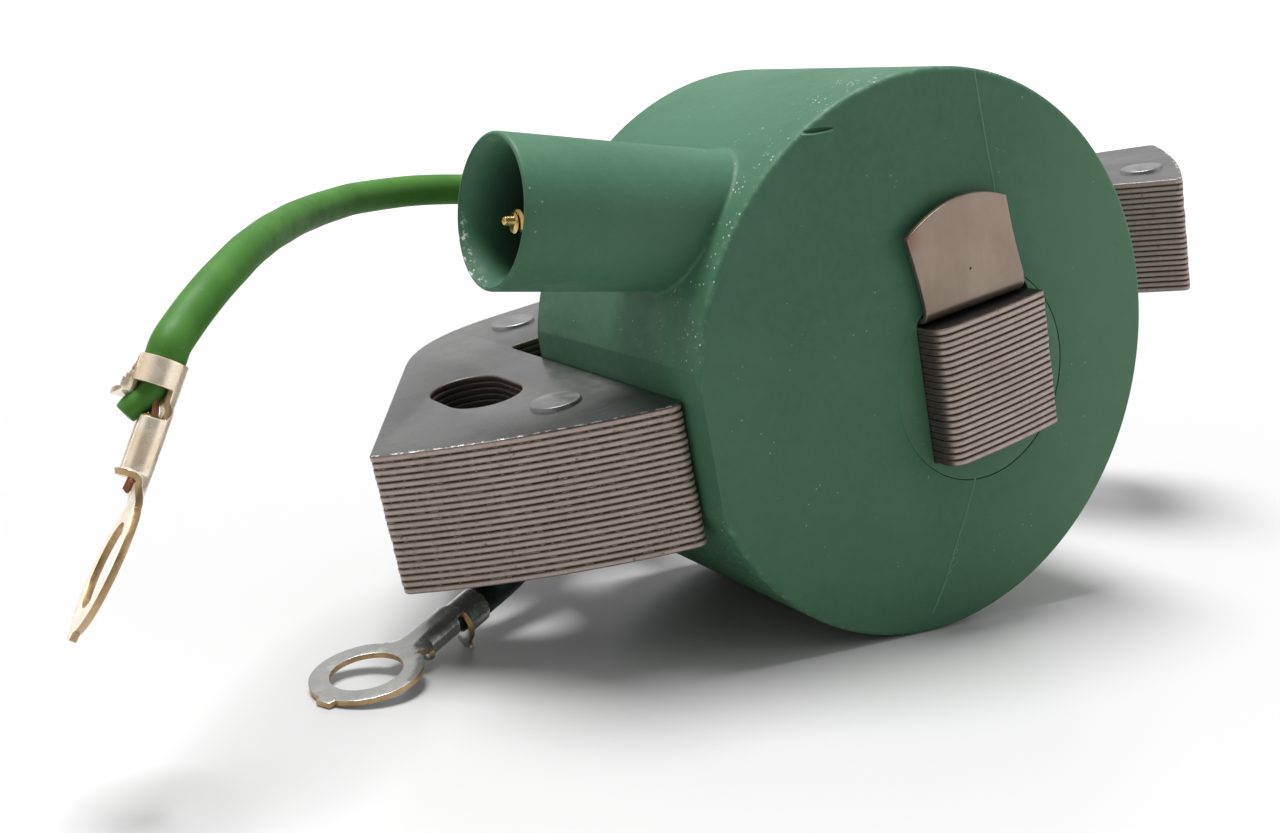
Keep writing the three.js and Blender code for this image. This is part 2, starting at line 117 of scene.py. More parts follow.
BLACK_TERMINAL = {"centre": (-13.4, -48.5, 1.43), "along": (-0.436, 0.883, 0.175),
                  "tabs": (-0.0615, 0.165, -0.984), "bend": 5}
SHEET = 0.5  # terminal sheet
KNEE = 5.4
WIRE_BARREL = (6.2, 10.3)
COVER_BARREL = (12.3, 14.2)
WING_START = 11.3  # of the wing that reaches further forward
COVER_CENTRE = 1.65  # height of the insulation's axis over the terminal's sheet


# ---- camera ----
LENS = 43.78
CAMERA_PLACE = (124.62, -98.65, 48.17)
CAMERA_RIGHT = (0.5102, 0.8601, -0.0005)
CAMERA_BACK = (0.8416, -0.4991, 0.2064)


def make_camera():
    """The camera that was fitted to the photograph."""
    data = bpy.data.cameras.new("camera")
    data.sensor_width = 36
    data.lens = LENS
    data.clip_start = 0.01
    camera = new_object("camera", data)
    right, back = Vector(CAMERA_RIGHT), Vector(CAMERA_BACK)
    basis = Matrix((right, back.cross(right), back)).transposed().to_4x4()
    camera.matrix_world = Matrix.Translation(Vector(CAMERA_PLACE) * MM) @ basis
    bpy.context.scene.camera = camera


# ---- mesh building ----
def new_object(name, data, matrix=None):
    if matrix is not None:
        data.transform(matrix)
    made = bpy.data.objects.new(name, data)
    bpy.context.scene.collection.objects.link(made)
    return made


def mesh_of(verts, faces):
    mesh = bpy.data.meshes.new("mesh")
    mesh.from_pydata([tuple(v) for v in verts], [], faces)
    mesh.update()
    return mesh


def evaluated(made):
    """A new mesh of the object, with its modifiers applied."""
    graph = bpy.context.evaluated_depsgraph_get()
    graph.update()
    return bpy.data.meshes.new_from_object(made.evaluated_get(graph))


def bake(made):
    """Gives the object its mesh with its modifiers applied."""
    mesh, old = evaluated(made), made.data
    made.modifiers.clear()
    made.data = mesh
    if old.users == 0:
        bpy.data.meshes.remove(old)


def smooth(mesh, angle):
    """Smooth shading with sharp edges where faces meet at more than angle degrees."""
    work = bmesh.new()
    work.from_mesh(mesh)
    for face in work.faces:
        face.smooth = True
    limit = math.radians(angle)
    for edge in work.edges:
        edge.smooth = len(edge.link_faces) == 2 and edge.calc_face_angle(0) < limit
    work.to_mesh(mesh)
    work.free()


def outward(mesh):
    """Welds a mesh and turns its faces outwards."""
    work = bmesh.new()
    work.from_mesh(mesh)
    bmesh.ops.remove_doubles(work, verts=work.verts, dist=1e-5)
    bmesh.ops.recalc_face_normals(work, faces=work.faces)
    work.to_mesh(mesh)
    work.free()
    return mesh


def turns(sides):
    return [2 * math.pi * k / sides for k in range(sides)]


def quads(rows, sides, closed=True):
    """Faces between rows of points, with that many points in each row."""
    pairs = [(k, (k + 1) % sides) for k in range(sides if closed else sides - 1)]
    return [[r * sides + k, r * sides + m, (r + 1) * sides + m, (r + 1) * sides + k]
            for r in range(rows - 1) for k, m in pairs]


def loft(verts, sides):
    """A solid through rings of points, with that many points in each ring."""
    ends = [list(range(sides)), list(range(len(verts) - sides, len(verts)))]
    return outward(mesh_of(verts, quads(len(verts) // sides, sides) + ends))


def lathe(profile, segments, centre=(0, 0)):
    """A closed body turned about X from (x, radius) pairs, lowest end of its axis first."""
    verts, rings = [], []
    for x, radius in profile:
        sides = segments if radius else 1
        rings.append(range(len(verts), len(verts) + sides))
        verts += [(x, centre[0] + radius * math.cos(a), centre[1] + radius * math.sin(a))
                  for a in turns(sides)]
    faces = []
    for low, high in zip(rings, rings[1:]):
        for i in range(segments):
            j = (i + 1) % segments
            quad = (low[i % len(low)], low[j % len(low)], high[j % len(high)], high[i % len(high)])
            face = list(dict.fromkeys(quad))
            if len(face) > 2:
                faces.append(face)
    return outward(mesh_of(verts, faces))


def block(x, y, z):
    verts = [(a, b, c) for a in x for b in y for c in z]
    faces = [(0, 1, 3, 2), (4, 6, 7, 5), (0, 4, 5, 1), (2, 3, 7, 6), (0, 2, 6, 4), (1, 5, 7, 3)]
    return outward(mesh_of(verts, faces))


def boolean(made, mesh, operation="DIFFERENCE"):
    other = new_object("cutter", mesh)
    modifier = made.modifiers.new("boolean", "BOOLEAN")
    modifier.operation = operation
    modifier.solver = "EXACT"
    modifier.object = other
    bake(made)
    bpy.data.objects.remove(other)
    bpy.data.meshes.remove(mesh)


def bevel(made, width, segments, angle):
    """Rounds the edges that turn by more than angle degrees."""
    edge = made.modifiers.new("edge", "BEVEL")
    edge.width = width
    edge.segments = segments
    edge.limit_method = "ANGLE"
    edge.angle_limit = math.radians(angle)


def thicken(made, thickness):
    """Gives a surface its thickness, half on each side."""
    solid = made.modifiers.new("sheet", "SOLIDIFY")
    solid.thickness = thickness
    solid.offset = 0
    return solid


def arc(cx, cy, radius, start, end, steps):
    """Points of an arc, angles in degrees."""
    angles = [math.radians(start + (end - start) * i / steps) for i in range(steps + 1)]
    return [(cx + radius * math.cos(a), cy + radius * math.sin(a)) for a in angles]


def filleted(corners, steps):
    """A closed outline through (x, y, fillet) corners."""
    points, count = [], len(corners)
    for i, corner in enumerate(corners):
        here = Vector(corner[:2])
        fillet = corner[2] if len(corner) > 2 else 0
        if fillet == 0:
            points.append(tuple(here))
            continue
        before = Vector(corners[i - 1][:2]) - here
        after = Vector(corners[(i + 1) % count][:2]) - here
        start, end = here + before.normalized() * fillet, here + after.normalized() * fillet
        for k in range(steps + 1):
            t = k / steps
            points.append(tuple(start * (1 - t) ** 2 + here * 2 * t * (1 - t) + end * t * t))
    return points


def add_line(curve, places):
    spline = curve.splines.new("POLY")
    spline.points.add(len(places) - 1)
    for point, place in zip(spline.points, places):
        point.co = (*place, 1)
    return spline


def plate(loops, low, high, edge):
    """A flat solid from an outline and its holes, with rounded edges."""
    curve = bpy.data.curves.new("plate", "CURVE")
    curve.dimensions = "2D"
    curve.fill_mode = "BOTH"
    curve.extrude = (high - low) / 2 - edge
    curve.bevel_depth = edge
    curve.bevel_resolution = 2
    curve.offset = -edge
    for loop in loops:
        add_line(curve, [(x, y, 0) for x, y in loop]).use_cyclic_u = True
    made = new_object("plate", curve)
    mesh = evaluated(made)
    bpy.data.objects.remove(made)
    bpy.data.curves.remove(curve)
    mesh.transform(Matrix.Translation((0, 0, (low + high) / 2)))
    return outward(mesh)


def tube(points, radii, sides):
    """A round body along a line of points, with a radius at each."""
    verts, normal, last = [], None, len(points) - 1
    for i, (point, radius) in enumerate(zip(points, radii)):
        along = (points[min(i + 1, last)] - points[max(i - 1, 0)]).normalized()
        if normal is None:
            normal = along.orthogonal().normalized()
        normal = (normal - along * normal.dot(along)).normalized()
        side = along.cross(normal)
        verts += [point + (normal * math.cos(a) + side * math.sin(a)) * radius
                  for a in turns(sides)]
    return loft(verts, sides)


def joined(meshes):
    work = bmesh.new()
    for mesh in meshes:
        work.from_mesh(mesh)
        bpy.data.meshes.remove(mesh)
    made = bpy.data.meshes.new("joined")
    work.to_mesh(made)
    work.free()
    return made


def finish_piece(made, nodes, slot, *materials, angle=35):
    smooth(made.data, angle)
    made.data.materials.clear()
    for material in materials:
        made.data.materials.append(material)
    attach(made, "root")
    if nodes:
        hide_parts(*nodes)
    return made


# ---- materials ----
class Nodes:
    """Short ways to add nodes to a tree."""

    def __init__(self, tree):
        self.tree = tree

    def put(self, target, value):
        """Links an output to the target socket, or sets the target to a plain value."""
        if isinstance(value, bpy.types.NodeSocket):
            self.tree.links.new(value, target)
        else:
            target.default_value = value

    def node(self, kind, inputs, output, **settings):
        """Adds a node, fills its inputs, and gives one of its outputs."""
        made = self.tree.nodes.new(f"ShaderNode{kind}")
        for name, value in settings.items():
            setattr(made, name, value)
        for name, value in inputs.items():
            self.put(made.inputs[name], value)
        return made.outputs[output]

    def span(self, value, low, high, to_low=0.0, to_high=1.0):
        """Carries low to high smoothly to to_low to to_high."""
        inputs = {"Value": value, "From Min": low, "From Max": high,
                  "To Min": to_low, "To Max": to_high}
        return self.node("MapRange", inputs, "Result", interpolation_type="SMOOTHSTEP")

    def math(self, operation, *values):
        return self.node("Math", dict(enumerate(values)), 0, operation=operation)

    def times(self, product, *factors):
        for factor in factors:
            product = self.math("MULTIPLY", product, factor)
        return product

    def away(self, place, point=(0, 0)):
        """How far a place is from a point, in two coordinates."""
        a, b = (self.math("SUBTRACT", value, middle) for value, middle in zip(place, point))
        return self.math("SQRT", self.math("ADD", self.times(a, a), self.times(b, b)))


class Look(Nodes):
    """A node material: a shader, and textures that read the row's own coordinates."""

    def __init__(self, name, roughness=0.5, metallic=0.0, specular=0.5):
        self.material = bpy.data.materials.new(name)
        self.material.use_nodes = True
        super().__init__(self.material.node_tree)
        self.shader = self.tree.nodes["Principled BSDF"].inputs
        uniform = {"Roughness": roughness, "Metallic": metallic, "Specular IOR Level": specular}
        for socket, value in uniform.items():
            self.put(self.shader[socket], value)
        self.place = self.node("TexCoord", {}, "Object")
        self.normal = None

    def mapped(self, scale):
        """The place in the core's directions, times scale, which is per millimetre."""
        level = self.node("Mapping", {"Vector": self.place, "Rotation": (-TILT, 0, 0)}, 0)
        inputs = {"Vector": level, "Scale": [s / MM for s in scale]}
        return self.node("Mapping", inputs, 0)

    def place_in(self, matrix):
        """x, y, z in millimetres in one of the drawing frames."""
        moved = self.node("VectorMath", {0: self.place, 1: matrix.translation}, 0,
                          operation="SUBTRACT")
        turn = matrix.to_quaternion().inverted().to_euler()
        turned = self.node("Mapping", {"Vector": moved, "Rotation": turn}, 0)
        return [self.times(self.node("SeparateXYZ", {0: turned}, axis), 1 / MM)
                for axis in "XYZ"]

    def noise(self, scale, detail=2.0, rough=0.5, stretch=(1, 1, 1)):
        inputs = {"Vector": self.mapped([scale * s for s in stretch]), "Scale": 1,
                  "Detail": detail, "Roughness": rough}
        return self.node("TexNoise", inputs, "Fac")

    def cells(self, scale):
        inputs = {"Vector": self.mapped([scale] * 3), "Scale": 1}
        return self.node("TexVoronoi", inputs, "Distance")

    def mix(self, factor, a, b):
        """Mixes two colours; 6, 7 and 2 are the node's colour sockets."""
        a, b = ((*value, 1) if isinstance(value, tuple) else value for value in (a, b))
        return self.node("Mix", {0: factor, 6: a, 7: b}, 2, data_type="RGBA")

    def bump(self, height, distance, strength=1.0):
        """Adds a bump of that height, in millimetres."""
        inputs = {"Height": height, "Distance": distance * MM, "Strength": strength}
        if self.normal is not None:
            inputs["Normal"] = self.normal
        self.normal = self.node("Bump", inputs, 0)
        self.put(self.shader["Normal"], self.normal)

    def finish(self, color, mottle=None, roughness=None, *bumps):
        """Links the colour and a mottled roughness, adds bumps of noise, and gives the material."""
        self.put(self.shader["Base Color"], color)
        if mottle:
            gloss = self.span(self.noise(*mottle), 0.3, 0.7, *roughness)
            self.put(self.shader["Roughness"], gloss)
        for noise, *size in bumps:
            self.bump(self.noise(*noise), *size)
        return self.material


RIGHT_SIDE_LIGHT = (1.6, 1.33, 1.25)  # how much paler each colour is painted on the drum's right: painted light from that side
SHADE = (0.02, 0.018, 0.018)  # between the sheets where little light comes


def moulded(name, dark, light, speck=(0.25, 0.37, 0.28), roughness=(0.48, 0.62)):
    """Moulded plastic: slow drifts of colour, a fine grain, dust, scratches and a rubbed rim, with
    painted light on the drum's right and painted shade deep in the tower's bore.
    """
    look = Look(name, specular=0.22)
    color = look.mix(look.span(look.noise(0.07, 3), 0.35, 0.65), dark, light)
    # Painted light: colours grow paler towards the drum's right.
    right_side_light = look.span(look.place_in(LYING)[1], 3, 22, 0, 0.75)
    color = look.mix(right_side_light, color, tuple(c * f for c, f in zip(light, RIGHT_SIDE_LIGHT)))
    faint = look.span(look.noise(1.3, 4, 0.65), 0.3, 0.8, 0, 0.3)
    color = look.mix(faint, color, tuple(c * 1.2 for c in light))
    x, *across = look.place_in(CORE)
    radius = look.away(across)
    rub = look.times(look.span(radius, DRUM_RADIUS - 0.6, DRUM_RADIUS - 0.05),
                     look.span(x, -1.0, -0.2),
                     look.span(look.noise(1.1, 4, 0.7), 0.45, 0.75, 0, 0.3))
    color = look.mix(rub, color, speck)
    dots = look.times(look.span(look.cells(1.05), 0.105, 0.07),
                      look.span(look.noise(0.16, 3), 0.55, 0.66, 0, 0.7))
    color = look.mix(dots, color, speck)
    near_rim = look.times(look.span(radius, DRUM_RADIUS - 0.25, DRUM_RADIUS - 0.1),
                          look.span(radius, DRUM_RADIUS + 0.2, DRUM_RADIUS + 0.1),
                          look.span(x, -9, -2.5))
    sand = look.times(look.span(look.cells(2.1), 0.24, 0.12),
                      look.span(look.noise(0.5, 3, 0.6), 0.46, 0.6, 0, 0.85), near_rim)
    color = look.mix(sand, color, (0.50, 0.56, 0.44))
    scratch = look.times(look.span(look.noise(0.9, 3, 0.6, (0.12, 2.6, 2.6)), 0.69, 0.74),
                         look.span(look.noise(0.22, 2), 0.55, 0.63, 0, 0.5))
    color = look.mix(scratch, color, speck)
    reach, u, v = look.place_in(TOWER)
    scuff = look.times(look.span(reach, MOUTH - 0.75, MOUTH - 0.3),
                       look.span(look.math("ADD", u, v), -5.6, -7.2),
                       look.span(look.noise(1.7, 4, 0.7), 0.52, 0.62, 0, 0.75))
    color = look.mix(scuff, color, (0.62, 0.68, 0.62))
    # Painted shade deep inside the tower's bore.
    bore = look.times(look.span(look.away((u, v)), BORE_RADIUS + 0.3, BORE_RADIUS + 0.1),
                      look.span(reach, MOUTH - 1.2, MOUTH - 5, 0, 0.75),
                      look.span(reach, BORE_FLOOR - 3, BORE_FLOOR - 1))
    color = look.mix(bore, color, (0.008, 0.022, 0.014))
    return look.finish(color, (0.6, 4, 0.6), roughness,
                       ((0.12, 2), 0.12), ((5.5, 2), 0.035, 0.5), ((14, 1), 0.012, 0.6))


def sheet_face():
    """The flat of the outermost sheet: rolled steel with handling marks, burrs painted as bright
    glints, and painted shade at the leg's front end.
    """
    look = Look("sheet_face", metallic=0.75)
    cloud = look.span(look.noise(0.11, 4, 0.6), 0.3, 0.7)
    color = look.mix(cloud, (0.128, 0.132, 0.132), (0.172, 0.172, 0.168))
    stain = look.span(look.noise(0.45, 5, 0.7), 0.56, 0.75, 0, 0.5)
    color = look.mix(stain, color, (0.16, 0.155, 0.155))
    pits = look.times(look.span(look.cells(0.8), 0.11, 0.05),
                      look.span(look.noise(0.3, 2), 0.5, 0.6))
    color = look.mix(pits, color, (0.06, 0.045, 0.04))
    marks = look.span(look.noise(0.8, 2, 0.5, (2.4, 0.16, 1)), 0.7, 0.76, 0, 0.35)
    color = look.mix(marks, color, (0.4, 0.4, 0.4))
    x, y = look.place_in(ON_LEG)[:2]
    # Burrs along the pole edge, painted as bright glints: a painted highlight.
    burr_glint = look.times(look.span(look.away((x, y), POLE), POLE[2] - 0.42, POLE[2] - 0.3),
                      look.span(look.noise(1.5, 3, 0.6), 0.5, 0.6))
    color = look.mix(burr_glint, color, (0.75, 0.74, 0.72))
    # Painted shade on the face at the leg's front end, near the tab and the bobbin's hole.
    leg_end_shade = look.times(look.span(x, -9, -4), look.span(look.math("ABSOLUTE", y), 9, 7, 0, 0.9))
    color = look.mix(leg_end_shade, color, (0.02, 0.02, 0.022))
    return look.finish(color, (0.35, 5, 0.65), (0.26, 0.38), ((0.3, 3), 0.02), ((9, 2), 0.006, 0.5))


def sheet_edge():
    """The punched edges: brownish, with shear marks across each sheet and specks of rust, and
    painted shade round the slots, inside the core, on the leg's left side and between the sheets.
    """
    look = Look("sheet_edge", metallic=0.4)
    cloud = look.span(look.noise(0.18, 4, 0.6), 0.3, 0.7)
    color = look.mix(cloud, (0.36, 0.289, 0.252), (0.432, 0.354, 0.312))
    shear = look.span(look.noise(3.2, 3, 0.6, (1, 1, 0.15)), 0.35, 0.65, 0, 0.5)
    color = look.mix(shear, color, (0.47, 0.40, 0.347))
    rust = look.times(look.span(look.noise(1.7, 4, 0.7), 0.6, 0.7),
                      look.span(look.noise(0.25, 2), 0.42, 0.6, 0.15, 0.85))
    color = look.mix(rust, color, (0.10, 0.052, 0.04))
    x, y, z = look.place_in(ON_LEG)
    # Painted shade on the edges round the slots.
    for slot in SLOTS:
        color = look.mix(look.span(look.away((x, y), slot), 7.2, 6.4, 0, 0.85), color, SHADE)
    # Painted shade on the edges inside the core, round the drum.
    inside_shade = look.times(look.span(look.math("ABSOLUTE", look.math("ADD", x, 31)), 5, 4),
                        look.span(look.math("ABSOLUTE", y), 31, 28, 0, 0.8))
    color = look.mix(inside_shade, color, SHADE)
    # Painted shade on the leg's left side, which faces the drum.
    leg_side_shade = look.times(look.span(y, -5.85, -6.35, 0, 0.9), look.span(y, -9, -8),
                          look.span(x, YOKE_FRONT, YOKE_FRONT + 4))
    color = look.mix(leg_side_shade, color, (0.025, 0.03, 0.026))
    # Painted shade in the grooves between the sheets: each sheet's edge darker towards its two
    # faces.
    sheet = look.math("FRACT", look.times(look.math("ADD", z, STACK / 2), 1 / SHEET_PITCH))
    off_centre = look.math("ABSOLUTE", look.math("SUBTRACT", sheet, 0.5))
    color = look.mix(look.span(off_centre, 0.12, 0.43), color, (0.13, 0.086, 0.071))
    return look.finish(color, (1.2, 4, 0.6), (0.38, 0.55),
                       ((4.5, 3, 0.6, (1, 1, 0.12)), 0.02, 0.7), ((12, 2), 0.008, 0.6))


def metal(name, dark, light, roughness, metallic, mark=None):
    look = Look(name, metallic=metallic)
    color = look.mix(look.span(look.noise(0.5, 4, 0.6), 0.3, 0.7), dark, light)
    if mark:
        color = look.mix(look.span(look.noise(1.4, 5, 0.7), 0.58, 0.7, 0, 0.6), color, mark)
    return look.finish(color, (1.1, 4, 0.6), roughness,
                       ((0.6, 3), 0.03, 0.6), ((9, 2), 0.006, 0.6))


def insulation(name, dark, light, roughness):
    look = Look(name, specular=0.18)
    color = look.mix(look.span(look.noise(0.25, 3), 0.35, 0.65), dark, light)
    scuff = look.span(look.noise(1.6, 4, 0.65), 0.62, 0.72, 0, 0.25)
    color = look.mix(scuff, color, tuple(min(1, c * 2.2 + 0.03) for c in light))
    return look.finish(color, (0.8, 3), roughness, ((0.9, 3), 0.03, 0.5), ((7, 2), 0.01, 0.5))


def winding_look(name, dark, light, pitch, metallic):
    """Turns of wire, or wraps of tape, side by side along the coil's axis."""
    look = Look(name, metallic=metallic)
    inputs = {"Vector": look.mapped((0.31 / pitch, 0.02, 0.02)), "Scale": 1, "Distortion": 0.6}
    wires = look.node("TexWave", inputs, "Fac", bands_direction="X", wave_profile="SIN")
    look.bump(wires, pitch / 3, 0.8)
    return look.finish(look.mix(wires, dark, light), (1.5, 3), (0.3, 0.5))


def tab_look():
    """Retaining strip: plain cold-rolled strip, brownish, with a soft lengthwise grain, and a dent's
    shade painted as a dark spot.
    """
    look = Look("strip_steel", metallic=0.8)
    cloud = look.span(look.noise(0.16, 3), 0.3, 0.7)
    color = look.mix(cloud, (0.242, 0.185, 0.145), (0.29, 0.229, 0.18))
    warm = look.span(look.noise(0.7, 4, 0.65), 0.55, 0.75, 0, 0.4)
    color = look.mix(warm, color, (0.26, 0.175, 0.145))
    place = look.place_in(ON_LEG)[1:]
    rusty = look.span(look.away(place, TAB_CORNER_LEFT), 2.2, 0.3, 0, 0.75)
    color = look.mix(rusty, color, (0.20, 0.10, 0.08))
    # Painted shade of a small dent: a dark spot.
    dent_shade = look.span(look.away(place, TAB_DENT), 0.18, 0.08)
    color = look.mix(dent_shade, color, (0.03, 0.02, 0.018))
    return look.finish(color, (0.6, 4, 0.6, (1, 3, 0.6)), (0.34, 0.44),
                       ((0.35, 2), 0.03), ((8, 2, 0.5, (1, 1.6, 0.4)), 0.006, 0.6))


def make_materials():
    return {
        "case": moulded("moulded_green", (0.043, 0.121, 0.069), (0.053, 0.141, 0.081)),
        # Mould flash, paler than the case: a painted highlight on its ridges.
        "flash": moulded("mould_flash", (0.10, 0.22, 0.14), (0.12, 0.26, 0.17)),
        "bobbin": moulded("bobbin_green", (0.048, 0.126, 0.071), (0.057, 0.145, 0.082)),
        "face": sheet_face(),
        "edge": sheet_edge(),
        "rivet": metal("rivet_steel", (0.19, 0.19, 0.195), (0.29, 0.285, 0.285), (0.32, 0.46),
                       0.75, (0.12, 0.11, 0.11)),
        "strip": tab_look(),
        "brass": metal("turned_brass", (0.50, 0.30, 0.09), (0.72, 0.48, 0.18), (0.18, 0.34), 1.0),
        "tin": metal("tin_plate", (0.85, 0.69, 0.50), (0.92, 0.82, 0.68), (0.2, 0.36), 0.6,
                     (0.50, 0.38, 0.25)),
        "grey_tin": metal("tin_plate_grey", (0.45, 0.46, 0.44), (0.52, 0.52, 0.495), (0.16, 0.3),
                          0.85, (0.40, 0.37, 0.33)),
        "cut": metal("cut_brass", (0.36, 0.235, 0.12), (0.50, 0.36, 0.20), (0.3, 0.5), 0.85,
                     (0.18, 0.11, 0.06)),
        "copper": metal("copper_strand", (0.30, 0.12, 0.07), (0.55, 0.27, 0.16), (0.28, 0.45), 0.95),
        "green": insulation("green_pvc", (0.042, 0.142, 0.019), (0.055, 0.17, 0.025),
                            (0.46, 0.58)),
        "black": insulation("black_pvc", (0.010, 0.020, 0.016), (0.018, 0.032, 0.026),
                            (0.34, 0.48)),
        "copper_turns": winding_look("copper_turns", (0.22, 0.07, 0.03), (0.5, 0.2, 0.09), 0.5,
                                     0.8),
        "fine_turns": winding_look("fine_turns", (0.25, 0.08, 0.03), (0.46, 0.19, 0.09), 0.14,
                                   0.7),
        "paper": winding_look("insulating_paper", (0.40, 0.31, 0.18), (0.56, 0.45, 0.29), 3.0, 0),
        "resin": moulded("casting_resin", (0.03, 0.075, 0.05), (0.045, 0.10, 0.065),
                         (0.2, 0.3, 0.25), (0.2, 0.35)),
    }


# ---- leads ----
def through(route, steps=8):
    """A centripetal Catmull-Rom line through the route's points."""
    points = [Vector(p) for p in route]
    points = [points[0] * 2 - points[1], *points, points[-1] * 2 - points[-2]]
    line = []
    for i in range(1, len(points) - 2):
        near = points[i - 1:i + 3]
        knots = [0.0]
        for a, b in zip(near, near[1:]):
            knots.append(knots[-1] + (b - a).length ** 0.5)
        for k in range(steps):
            u = knots[1] + (knots[2] - knots[1]) * k / steps
            blend = near
            for apart, offset in ((1, 0), (2, 0), (1, 1)):
                blend = [blend[j].lerp(blend[j + 1], (u - knots[j + offset])
                                       / (knots[j + offset + apart] - knots[j + offset]))
                         for j in range(len(blend) - 1)]
            line.append(blend[0])
    line.append(points[-2])
    return line


def terminal_matrix(terminal):
    """From a terminal's own frame, flat with the wire coming in along +X, to the row frame."""
    x = Vector(terminal["along"]).normalized()
    y = Vector(terminal["tabs"]).cross(x).normalized()
    z = x.cross(y)
    basis = Matrix((x, y, z)).transposed().to_4x4()
    return LYING @ Matrix.Translation(terminal["centre"]) @ basis


def bent(point, bend, reach=0.8):
    """A point of the flat terminal after the bend at its knee, which is a short arc."""
    x, y, z = point
    start = KNEE - reach
    if x <= start:
        return Vector(point)
    angle = math.radians(bend)
    turn = angle * min((x - start) / (2 * reach), 1)
    radius = 2 * reach / angle
    beyond = max(x - start - 2 * reach, 0)
    along, up = math.cos(turn), math.sin(turn)
    return Vector((start + (radius + z) * up + beyond * along, y,
                   (radius + z) * along - radius - beyond * up))


def make_lead(name, route, terminal, looks):
    to_lying = LYING.inverted() @ terminal_matrix(terminal)
    ending = [to_lying @ bent((COVER_BARREL[1] + back, 0, COVER_CENTRE), terminal["bend"])
              for back in (1.1, 0.3, -1.2)]
    line = [LYING @ p for p in through([*route, *ending])]
    curve = bpy.data.curves.new(name, "CURVE")
    curve.dimensions = "3D"
    curve.bevel_depth = LEAD_RADIUS * MM
    curve.bevel_resolution = 7
    curve.use_fill_caps = True
    add_line(curve, line).use_smooth = True
    curve.materials.append(looks[name])
    made = new_object(name, curve)
    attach(made, "root")
    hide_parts(f"{name}_lead")


# ---- ring terminals ----
def crimp_turn(kind, s, side):
    """How far the sheet has turned, in radians, at s millimetres from its middle line."""
    if kind == "flat":
        return 0.0
    if kind == "web":
        return min(max(s - 0.45, 0), 1.0) * 0.6
    if kind == "wire":
        turn = min(max(s - 0.55, 0) / 0.7, math.pi / 2)
        return turn + min(max(s - 2.0, 0) / 0.5, math.radians(260))
    turn = min(s / 1.4, math.radians(168))
    if side > 0:
        return turn - min(max(s - 4.2, 0) / 0.45, math.radians(85))
    return turn + min(max(s - 4.1, 0) / 0.5, math.radians(50))


def crimp_shape(x):
    """The section's kinds and their shares at x along the terminal."""
    stops = [(4.2, "flat"), (5.9, "web"), (6.4, "wire"), (10.2, "wire"), (10.8, "web"),
             (11.6, "cover"), (15.5, "cover")]
    if x <= stops[0][0]:
        return [("flat", 1.0)]
    for (x0, a), (x1, b) in zip(stops, stops[1:]):
        if x <= x1:
            t = (x - x0) / (x1 - x0)
            t = t * t * (3 - 2 * t)
            return [(a, 1 - t), (b, t)]
    return [("cover", 1.0)]


def half_width(x, side):
    """Half the width of the flat blank at x, on the side of +Y or of -Y."""
    if WIRE_BARREL[0] <= x <= WIRE_BARREL[1]:
        return 4.27
    if side > 0 and WING_START <= x <= COVER_BARREL[1]:
        return 5.3 - 0.5 * abs(x - 11.9)
    if COVER_BARREL[0] <= x <= COVER_BARREL[1]:
        return 4.5
    return 1.9 if x < WIRE_BARREL[0] else 1.3


